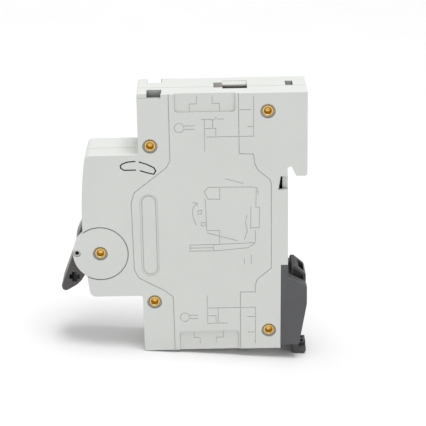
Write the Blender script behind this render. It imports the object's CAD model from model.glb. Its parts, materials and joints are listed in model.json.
import bmesh
import bpy
import json
from math import atan2, pi, radians
from mathutils import Matrix, Vector


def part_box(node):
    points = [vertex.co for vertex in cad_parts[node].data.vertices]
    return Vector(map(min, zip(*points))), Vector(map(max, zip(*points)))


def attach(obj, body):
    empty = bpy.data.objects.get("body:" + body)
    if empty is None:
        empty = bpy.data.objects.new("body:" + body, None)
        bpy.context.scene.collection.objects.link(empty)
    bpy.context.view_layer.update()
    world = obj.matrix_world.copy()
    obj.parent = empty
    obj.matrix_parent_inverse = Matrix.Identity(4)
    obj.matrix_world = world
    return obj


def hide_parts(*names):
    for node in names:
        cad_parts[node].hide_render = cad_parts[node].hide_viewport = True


# Circuit breaker for a 35 mm rail: toggle to -Y, rail to +Y, Z up, all in metres.
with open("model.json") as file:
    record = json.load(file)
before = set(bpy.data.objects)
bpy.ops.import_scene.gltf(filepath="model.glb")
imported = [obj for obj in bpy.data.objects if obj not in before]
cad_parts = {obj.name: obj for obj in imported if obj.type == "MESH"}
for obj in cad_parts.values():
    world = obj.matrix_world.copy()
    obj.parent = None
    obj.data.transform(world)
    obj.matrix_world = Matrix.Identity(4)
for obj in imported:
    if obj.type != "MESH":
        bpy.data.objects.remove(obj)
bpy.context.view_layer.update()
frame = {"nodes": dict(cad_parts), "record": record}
mm = 0.001
print("frame loaded:", len(frame["nodes"]), "nodes")


class Wire:
    # one output of a shader node, which adds and multiplies like a number
    def __init__(self, tree, socket=None):
        self.tree = tree
        self.socket = socket

    def node(self, kind, settings=None, inputs=None, output=0):
        made = self.tree.nodes.new("ShaderNode" + kind)
        for name, value in (settings or {}).items():
            setattr(made, name, value)
        for name, value in (inputs or {}).items():
            if isinstance(value, Wire):
                self.tree.links.new(value.socket, made.inputs[name])
            else:
                made.inputs[name].default_value = value
        return Wire(self.tree, made.outputs[output])

    def maths(self, operation, first, second):
        return self.node("Math", {"operation": operation}, {0: first, 1: second})

    def __add__(self, other):
        return self.maths("ADD", self, other)

    __radd__ = __add__

    def __mul__(self, other):
        return self.maths("MULTIPLY", self, other)

    __rmul__ = __mul__

    def __sub__(self, other):
        return self.maths("SUBTRACT", self, other)

    def __rsub__(self, other):
        return self.maths("SUBTRACT", other, self)

    def ramp(self, low, high):
        # 0 below low, 1 above high, smooth between them
        return self.node("MapRange", {"interpolation_type": "SMOOTHSTEP"},
                         {"Value": self, "From Min": low, "From Max": high})

    def mixed(self, first, second):
        # self is the share of the second colour
        return self.node("Mix", {"data_type": "RGBA"}, {0: self, 6: first, 7: second}, 2)


# what every finish shares: lengths in mm, depths of the bumps in metres
surfaceLook = {"edgeReach": 0.35, "edgeFrom": 0.3, "edgeTo": 0.9, "hollowSpread": 0.35, "hollowShare": 0.9,
               "rubSize": 6, "aoSamples": 6, "plasticDepth": 0.00002, "metalDepth": 0.00001}


def grey(value):
    return (value, value, value, 1)


def newFinish(name):
    finish = bpy.data.materials.new(name)
    finish.use_nodes = True
    tree = finish.node_tree
    shader = tree.nodes["Principled BSDF"]
    place = Wire(tree).node("TexCoord", output="Object")
    return finish, shader, place


def noiseOn(place, size, stretch=(1, 1, 1), detail=3.0, rough=0.5):
    # grains of about that size in mm, longer where stretch is above one
    scale = tuple(1 / (size * mm * s) for s in stretch)
    spot = place.node("Mapping", inputs={"Vector": place, "Scale": scale})
    return place.node("TexNoise", inputs={"Vector": spot, "Scale": 1.0, "Detail": detail, "Roughness": rough})


def cornersOf(place, reach, inside):
    # near 1 in creases, or along outer edges when looking from inside
    settings = {"inside": inside, "only_local": True, "samples": surfaceLook["aoSamples"]}
    clear = place.node("AmbientOcclusion", settings, {"Distance": reach * mm}, "AO")
    return 1 - clear


def shift(colour, factor):
    return tuple(min(1, c * factor) for c in colour[:3]) + (1,)


def feed(wire, shader, name):
    wire.tree.links.new(wire.socket, shader.inputs[name])


def mouldedPlastic(name, look):
    # cloudy and specked, paler on worn edges, darker in creases and deep in openings
    finish, shader, place = newFinish(name)
    base = look["colour"] + (1,)
    cloud = noiseOn(place, look["cloudSize"], detail=2)
    speck = noiseOn(place, look["grainSize"] * 2, detail=2)
    crease = cornersOf(place, look["creaseReach"], False)
    hollow = cornersOf(place, look["hollowReach"], False)
    edge = cornersOf(place, surfaceLook["edgeReach"], True).ramp(surfaceLook["edgeFrom"], surfaceLook["edgeTo"])
    deep = hollow.ramp(look["hollowFrom"], look["hollowFrom"] + surfaceLook["hollowSpread"])
    tone = cloud.ramp(0.3, 0.7).mixed(shift(base, 1 - look["cloud"]), shift(base, 1 + look["cloud"]))
    tone = (speck.ramp(0.35, 0.65) * look["speck"]).mixed(tone, shift(base, 0.8))
    tone = (edge * look["edgeWear"]).mixed(tone, shift(base, look["edgeTone"]))
    tone = (crease.ramp(0.12, 0.75) * look["crease"]).mixed(tone, shift(base, look["creaseTone"]))
    tone = (deep * surfaceLook["hollowShare"]).mixed(tone, shift(base, look["hollowTone"]))
    feed(tone, shader, "Base Color")
    rub = noiseOn(place, surfaceLook["rubSize"], (1, 1, 4), detail=4, rough=0.65)
    lowest = look["rough"] - look["roughSpread"] / 2
    feed(rub * look["roughSpread"] + lowest - edge * 0.08, shader, "Roughness")
    grain = noiseOn(place, look["grainSize"], detail=3, rough=0.6) + noiseOn(place, look["grainSize"] * 8) * 0.6
    relief = {"Height": grain, "Strength": look["grain"], "Distance": surfaceLook["plasticDepth"]}
    feed(place.node("Bump", inputs=relief), shader, "Normal")
    shader.inputs["IOR"].default_value = 1.5
    shader.inputs["Specular IOR Level"].default_value = look["sheen"]
    return finish


def metalFinish(name, look):
    # stained and streaked the way it was drawn or turned, darker in creases and bores
    finish, shader, place = newFinish(name)
    base = look["colour"] + (1,)
    stain = noiseOn(place, look["stainSize"], detail=4, rough=0.6)
    streak = noiseOn(place, look["streakSize"], look["streakAlong"], detail=3, rough=0.6)
    crease = cornersOf(place, look["creaseReach"], False)
    tone = stain.ramp(0.35, 0.7).mixed(base, look["stain"] + (1,))
    tone = (streak.ramp(0.3, 0.7) * 0.35).mixed(tone, shift(base, 0.72))
    tone = (crease.ramp(0.1, 0.7) * 0.8).mixed(tone, look["deep"] + (1,))
    feed(tone, shader, "Base Color")
    shader.inputs["Metallic"].default_value = 1.0
    lowest = look["rough"] - look["roughSpread"] / 2
    feed(streak * look["roughSpread"] + stain * 0.08 + lowest, shader, "Roughness")
    relief = {"Height": streak + stain * 0.4, "Strength": look["bump"], "Distance": surfaceLook["metalDepth"]}
    feed(place.node("Bump", inputs=relief), shader, "Normal")
    return finish


# sizes and reaches in mm, tones as shares of the colour
plasticLooks = {
    "shell": {"colour": (0.668, 0.681, 0.656), "cloud": 0.012, "cloudSize": 14, "grainSize": 0.16, "grain": 0.30,
              "speck": 0.05, "rough": 0.46, "roughSpread": 0.10, "sheen": 0.45, "edgeWear": 0.35, "edgeTone": 1.12,
              "crease": 0.8, "creaseTone": 0.5, "creaseReach": 0.22,
              "hollowReach": 6, "hollowFrom": 0.48, "hollowTone": 0.1},
    "dark_plastic": {"colour": (0.088, 0.089, 0.094), "cloud": 0.05, "cloudSize": 8, "grainSize": 0.22,
                     "grain": 0.55, "speck": 0.25, "rough": 0.55, "roughSpread": 0.14, "sheen": 0.5,
                     "edgeWear": 0.5, "edgeTone": 1.6, "crease": 0.6, "creaseTone": 0.5, "creaseReach": 0.6,
                     "hollowReach": 3, "hollowFrom": 0.45, "hollowTone": 0.2},
    "slide_plastic": {"colour": (0.068, 0.067, 0.070), "cloud": 0.07, "cloudSize": 5, "grainSize": 0.25,
                      "grain": 0.6, "speck": 0.3, "rough": 0.5, "roughSpread": 0.16, "sheen": 0.5,
                      "edgeWear": 0.6, "edgeTone": 1.8, "crease": 0.6, "creaseTone": 0.45, "creaseReach": 0.9,
                      "hollowReach": 3, "hollowFrom": 0.45, "hollowTone": 0.2},
    "toggle_plastic": {"colour": (0.072, 0.067, 0.066), "cloud": 0.05, "cloudSize": 5, "grainSize": 0.2,
                       "grain": 0.45, "speck": 0.2, "rough": 0.42, "roughSpread": 0.14, "sheen": 0.5,
                       "edgeWear": 0.55, "edgeTone": 1.7, "crease": 0.6, "creaseTone": 0.5, "creaseReach": 0.8,
                       "hollowReach": 3, "hollowFrom": 0.2, "hollowTone": 0.03},
    "mechanism_plastic": {"colour": (0.030, 0.030, 0.032), "cloud": 0.1, "cloudSize": 4, "grainSize": 0.2,
                          "grain": 0.4, "speck": 0.2, "rough": 0.5, "roughSpread": 0.15, "sheen": 0.5,
                          "edgeWear": 0.5, "edgeTone": 2.2, "crease": 0.5, "creaseTone": 0.5, "creaseReach": 0.6,
                          "hollowReach": 3, "hollowFrom": 0.45, "hollowTone": 0.2},
    "bobbin_plastic": {"colour": (0.47, 0.30, 0.12), "cloud": 0.06, "cloudSize": 5, "grainSize": 0.2,
                       "grain": 0.25, "speck": 0.1, "rough": 0.34, "roughSpread": 0.12, "sheen": 0.5,
                       "edgeWear": 0.4, "edgeTone": 1.3, "crease": 0.6, "creaseTone": 0.5, "creaseReach": 0.8,
                       "hollowReach": 3, "hollowFrom": 0.45, "hollowTone": 0.2},
    "fibre": {"colour": (0.42, 0.20, 0.12), "cloud": 0.12, "cloudSize": 3, "grainSize": 0.12, "grain": 0.8,
              "speck": 0.45, "rough": 0.7, "roughSpread": 0.14, "sheen": 0.35, "edgeWear": 0.6, "edgeTone": 1.35,
              "crease": 0.5, "creaseTone": 0.55, "creaseReach": 0.6,
              "hollowReach": 3, "hollowFrom": 0.45, "hollowTone": 0.2},
}
metalLooks = {
    "brass": {"colour": (0.95, 0.70, 0.26), "stain": (0.86, 0.56, 0.16), "deep": (0.56, 0.30, 0.015),
              "stainSize": 2.5, "streakSize": 0.12, "streakAlong": (6, 1, 1), "rough": 0.27, "roughSpread": 0.14,
              "bump": 0.35, "creaseReach": 2.2},
    "steel": {"colour": (0.55, 0.55, 0.55), "stain": (0.44, 0.43, 0.42), "deep": (0.22, 0.21, 0.20),
              "stainSize": 4, "streakSize": 0.1, "streakAlong": (8, 1, 1), "rough": 0.32, "roughSpread": 0.14,
              "bump": 0.4, "creaseReach": 0.5},
    "plated_steel": {"colour": (0.66, 0.65, 0.60), "stain": (0.56, 0.57, 0.56), "deep": (0.26, 0.26, 0.25),
                     "stainSize": 3, "streakSize": 0.16, "streakAlong": (1, 7, 1), "rough": 0.36,
                     "roughSpread": 0.16, "bump": 0.45, "creaseReach": 0.5},
    "spring_steel": {"colour": (0.38, 0.38, 0.39), "stain": (0.26, 0.25, 0.25), "deep": (0.15, 0.15, 0.15),
                     "stainSize": 1.5, "streakSize": 0.1, "streakAlong": (3, 1, 1), "rough": 0.3,
                     "roughSpread": 0.12, "bump": 0.3, "creaseReach": 0.5},
    "copper": {"colour": (0.80, 0.38, 0.22), "stain": (0.56, 0.24, 0.14), "deep": (0.30, 0.11, 0.05),
               "stainSize": 2.5, "streakSize": 0.14, "streakAlong": (1, 1, 6), "rough": 0.3, "roughSpread": 0.16,
               "bump": 0.4, "creaseReach": 0.5},
    "contact_silver": {"colour": (0.82, 0.81, 0.78), "stain": (0.66, 0.63, 0.58), "deep": (0.34, 0.32, 0.28),
                       "stainSize": 0.9, "streakSize": 0.12, "streakAlong": (1, 3, 1), "rough": 0.34,
                       "roughSpread": 0.14, "bump": 0.4, "creaseReach": 0.5},
}
finishes = {}
for slotName, look in plasticLooks.items():
    finishes[slotName] = mouldedPlastic(slotName, look)
for slotName, look in metalLooks.items():
    finishes[slotName] = metalFinish(slotName, look)

bimetalLook = {"hotSide": (0.74, 0.60, 0.36), "coldSide": (0.52, 0.52, 0.54), "jointZ": -19.3, "jointBlur": 0.04,
               "rollSize": 0.12, "bump": 0.4}


def bimetalFinish(look):
    # two rolled metals bonded back to back, with rolling marks along the strip
    finish, shader, place = newFinish("bimetal")
    rolled = noiseOn(place, look["rollSize"], (1, 12, 1), detail=3, rough=0.6)
    height = place.node("SeparateXYZ", inputs={0: place}, output=2) * (1 / mm)
    upper = height.ramp(look["jointZ"] - look["jointBlur"], look["jointZ"] + look["jointBlur"])
    tone = upper.mixed(look["coldSide"] + (1,), look["hotSide"] + (1,))
    tone = (rolled.ramp(0.35, 0.7) * 0.4).mixed(tone, grey(0.33))
    feed(tone, shader, "Base Color")
    shader.inputs["Metallic"].default_value = 1.0
    feed(rolled * 0.16 + 0.26, shader, "Roughness")
    relief = {"Height": rolled, "Strength": look["bump"], "Distance": surfaceLook["metalDepth"]}
    feed(place.node("Bump", inputs=relief), shader, "Normal")
    return finish


finishes["bimetal"] = bimetalFinish(bimetalLook)

slotOfNode = {part["node"]: part["material_slot"] for part in frame["record"]["subparts"]}
bodyOfNode = {}
for bodyName, members in frame["record"]["behaviour"]["bodies"].items():
    for member in members:
        bodyOfNode[member] = bodyName
for nodeName, node in frame["nodes"].items():
    node.data.materials.clear()
    node.data.materials.append(finishes[slotOfNode[nodeName]])
print("finishes made:", len(finishes))


mergeDistance = 0.000001


def finishPiece(name, bm, node, smoothAngle=35):
    # a piece that stands in for a CAD node, on its body and with its finish
    mesh = bpy.data.meshes.new(name)
    bm.to_mesh(mesh)
    bm.free()
    for face in mesh.polygons:
        face.use_smooth = True
    mesh.set_sharp_from_angle(angle=radians(smoothAngle))
    piece = bpy.data.objects.new(name, mesh)
    bpy.context.scene.collection.objects.link(piece)
    mesh.materials.append(finishes[slotOfNode[node]])
    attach(piece, bodyOfNode[node])
    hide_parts(node)
    return piece


def spunShape(bm, profile, centre, axis, across, steps):
    # profile is (distance along the axis, radius) in mm; a full turn joins up with itself
    axis, across = Vector(axis), Vector(across)
    verts = [bm.verts.new(Vector(centre) + axis * (a * mm) + across * (r * mm)) for a, r in profile]
    edges = [bm.edges.new(pair) for pair in zip(verts, verts[1:])]
    bmesh.ops.spin(bm, geom=verts + edges, cent=centre, axis=axis, angle=2 * pi, steps=steps, use_merge=True)


# tubular rivets, rolled over at both ends into their counterbores; radii and places along the shank in mm
rivetSizes = {"bore": 1.1, "shank": 1.28, "rim": 1.69, "seat": 7.86, "crown": 8.35, "boreEnd": 7.2, "steps": 48,
              "sharpAngle": 50}


def rivetProfile(look):
    # up the shank, out over the rolled rim and down into the blind bore, then mirrored
    bore, shank, rim, seat, crown = (look[k] for k in ("bore", "shank", "rim", "seat", "crown"))
    end = [(seat, shank), (seat, rim - 0.06), (seat + 0.08, rim), (seat + 0.22, rim), (crown - 0.12, rim - 0.08),
           (crown - 0.02, rim - 0.2), (crown, rim - 0.32), (crown - 0.05, bore + 0.14), (crown - 0.2, bore + 0.03),
           (crown - 0.4, bore), (look["boreEnd"] + 0.12, bore), (look["boreEnd"], bore - 0.14),
           (look["boreEnd"] + 0.16, 0.4), (look["boreEnd"] + 0.2, 0)]
    return [(-a, r) for a, r in reversed(end)] + end


rivetPlaces = {  # (y, z) in mm
    "casing_rivets": [(-40.6, 25.0), (-40.6, -24.6), (-5.9, 35.1), (-5.9, -34.7)],
    "toggle_rivet": [(-56.5, -8.5)],
}
for node, places in rivetPlaces.items():
    bm = bmesh.new()
    for y, z in places:
        spunShape(bm, rivetProfile(rivetSizes), (0, y * mm, z * mm), (1, 0, 0), (0, 0, 1), rivetSizes["steps"])
    bmesh.ops.remove_doubles(bm, verts=bm.verts, dist=mergeDistance)
    bmesh.ops.recalc_face_normals(bm, faces=bm.faces)
    finishPiece("rolled_" + node, bm, node, rivetSizes["sharpAngle"])
print("rivets rolled")


# the stamped cages: copies of the CAD nodes with their edges rounded off
cageLook = {"round": 0.25, "edgeAngle": 40, "flatAngle": 0.6, "segments": 2, "merge": 0.002}


def roundedCopy(node, look):
    bm = bmesh.new()
    bm.from_mesh(frame["nodes"][node].data)
    bmesh.ops.remove_doubles(bm, verts=bm.verts, dist=look["merge"] * mm)
    bmesh.ops.dissolve_limit(bm, angle_limit=radians(look["flatAngle"]), verts=bm.verts, edges=bm.edges)
    outer = [e for e in bm.edges if e.is_manifold and e.is_convex]
    sharp = [e for e in outer if e.calc_face_angle() > radians(look["edgeAngle"])]
    bmesh.ops.bevel(bm, geom=sharp, offset=look["round"] * mm, affect="EDGES", segments=look["segments"],
                    profile=0.5, material=-1, clamp_overlap=True)
    return finishPiece("rounded_" + node, bm, node)


for node in ("top_cage", "bottom_cage"):
    roundedCopy(node, cageLook)
print("cages rounded")


# clamp screws with threads and a cross slot; places along the screw and radii in mm
screwSizes = {"head": 3.18, "headStart": -36.2, "headEnd": -33.2, "shank": 2.44, "root": 2.08, "tip": -20.7,
              "pitch": 0.8, "slotWidth": 1.0, "slotReach": 2.3, "slotDepth": 1.4, "steps": 48, "sharpAngle": 40}
faceTolerance = 0.000001


def screwProfile(look):
    # rounded head, a vee groove for each turn of the thread, and a tapered tip
    front, back, head = look["headStart"], look["headEnd"], look["head"]
    profile = [(front, head - 0.35), (front + 0.12, head - 0.12), (front + 0.4, head), (back - 0.25, head),
               (back, head - 0.2), (back, look["shank"])]
    turns = int((look["tip"] - back - 0.6) / look["pitch"])
    for turn in range(turns):
        start = back + 0.3 + turn * look["pitch"]
        profile += [(start, look["shank"]), (start + 0.36, look["root"]), (start + 0.44, look["root"])]
    return profile + [(look["tip"] - 0.35, look["shank"]), (look["tip"], look["root"] - 0.3)]


def headFaces(bm, front):
    return [f for f in bm.faces if abs(f.calc_center_median().y - front) < faceTolerance]


def cutCross(bm, z, look):
    # cut the cross's outline in the head's face, then push it in
    front, half, reach = look["headStart"] * mm, look["slotWidth"] / 2 * mm, look["slotReach"] * mm
    for axis in (Vector((1, 0, 0)), Vector((0, 0, 1))):
        for place in (-reach, -half, half, reach):
            faces = headFaces(bm, front)
            around = faces + list({e for f in faces for e in f.edges}) + list({v for f in faces for v in f.verts})
            bmesh.ops.bisect_plane(bm, geom=around, plane_co=Vector((0, 0, z)) + axis * place, plane_no=axis)
    cross = []
    for face in headFaces(bm, front):
        spot = face.calc_center_median()
        across, up = abs(spot.x), abs(spot.z - z)
        if max(across, up) < reach and min(across, up) < half:
            cross.append(face)
    pushed = bmesh.ops.extrude_face_region(bm, geom=cross)
    moved = [v for v in pushed["geom"] if isinstance(v, bmesh.types.BMVert)]
    bmesh.ops.translate(bm, verts=moved, vec=(0, look["slotDepth"] * mm, 0))
    bmesh.ops.delete(bm, geom=cross, context="FACES_ONLY")


def clampScrew(node, look):
    low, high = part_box(node)
    z = (low.z + high.z) / 2
    bm = bmesh.new()
    spunShape(bm, screwProfile(look), (0, 0, z), (0, 1, 0), (1, 0, 0), look["steps"])
    bmesh.ops.remove_doubles(bm, verts=bm.verts, dist=mergeDistance)
    bmesh.ops.holes_fill(bm, edges=[e for e in bm.edges if e.is_boundary], sides=0)
    bmesh.ops.recalc_face_normals(bm, faces=bm.faces)
    cutCross(bm, z, look)
    return finishPiece("cut_" + node, bm, node, look["sharpAngle"])


for node in ("top_screw", "bottom_screw"):
    clampScrew(node, screwSizes)
print("clamp screws cut")

# a paper floor under the casing's front lower edge and the foot of the slide, as (y, z) in mm
floorSizes = {"size": 6.0, "frontTouch": (-44.1, -40.85), "footTouch": (1.9, -44.55), "tone": 0.825,
              "cloudSize": 60, "cloud": 0.985, "fibreSize": 0.6, "bump": 0.08}


def paleFloor(look):
    finish, shader, place = newFinish("floor_paper")
    cloud = noiseOn(place, look["cloudSize"], detail=3)
    tone = cloud.ramp(0.3, 0.7).mixed(grey(look["tone"]), grey(look["tone"] * look["cloud"]))
    feed(tone, shader, "Base Color")
    fibre = noiseOn(place, look["fibreSize"], detail=4)
    feed(fibre * 0.1 + 0.6, shader, "Roughness")
    relief = {"Height": fibre, "Strength": look["bump"], "Distance": surfaceLook["plasticDepth"]}
    feed(place.node("Bump", inputs=relief), shader, "Normal")
    shader.inputs["Specular IOR Level"].default_value = 0.2
    bm = bmesh.new()
    (y1, z1), (y2, z2) = look["frontTouch"], look["footTouch"]
    lean = atan2(z2 - z1, y2 - y1)
    bmesh.ops.create_grid(bm, x_segments=4, y_segments=4, size=look["size"] / 2)
    bmesh.ops.rotate(bm, verts=bm.verts, cent=(0, 0, 0), matrix=Matrix.Rotation(lean, 3, "X"))
    bmesh.ops.translate(bm, verts=bm.verts, vec=(0, y1 * mm, z1 * mm))
    mesh = bpy.data.meshes.new("floor")
    bm.to_mesh(mesh)
    bm.free()
    mesh.materials.append(finish)
    floor = bpy.data.objects.new("floor", mesh)
    bpy.context.scene.collection.objects.link(floor)


paleFloor(floorSizes)

# a pale room and one large disk lamp overhead
lightSetup = {"sky": 0.68, "keyFrom": (0.13, 0.15, 1.0), "keyAt": (0, -0.03, 0), "keyAway": 3.0, "keySize": 1.7,
              "keyPower": 61}


def softLight(look):
    world = bpy.data.worlds.new("studio")
    world.use_nodes = True
    world.node_tree.nodes["Background"].inputs["Color"].default_value = grey(1)
    world.node_tree.nodes["Background"].inputs["Strength"].default_value = look["sky"]
    bpy.context.scene.world = world
    lamp = bpy.data.lights.new("overhead", "AREA")
    lamp.shape = "DISK"
    lamp.size = look["keySize"]
    lamp.energy = look["keyPower"]
    light = bpy.data.objects.new("overhead", lamp)
    bpy.context.scene.collection.objects.link(light)
    away = Vector(look["keyFrom"]).normalized()
    light.location = Vector(look["keyAt"]) + away * look["keyAway"]
    light.rotation_euler = away.to_track_quat("Z", "Y").to_euler()


softLight(lightSetup)

cameraSetup = {"lens": 128.77, "sensor": 36, "near": 0.01, "far": 50, "at": (0.435756, -0.025220, 0.159183),
               "right": (0.01233, 0.99980, -0.01577), "up": (-0.34169, 0.01903, 0.93962),
               "back": (0.93973, -0.00620, 0.34186)}


def placeCamera(look):
    camera = bpy.data.cameras.new("camera")
    camera.lens = look["lens"]
    camera.sensor_width = look["sensor"]
    camera.clip_start = look["near"]
    camera.clip_end = look["far"]
    view = bpy.data.objects.new("camera", camera)
    bpy.context.scene.collection.objects.link(view)
    turn = Matrix((look["right"], look["up"], look["back"])).transposed().to_4x4()
    view.matrix_world = Matrix.Translation(look["at"]) @ turn
    bpy.context.scene.camera = view


placeCamera(cameraSetup)
bpy.context.scene.view_settings.view_transform = "Standard"
print("floor, light and camera placed")
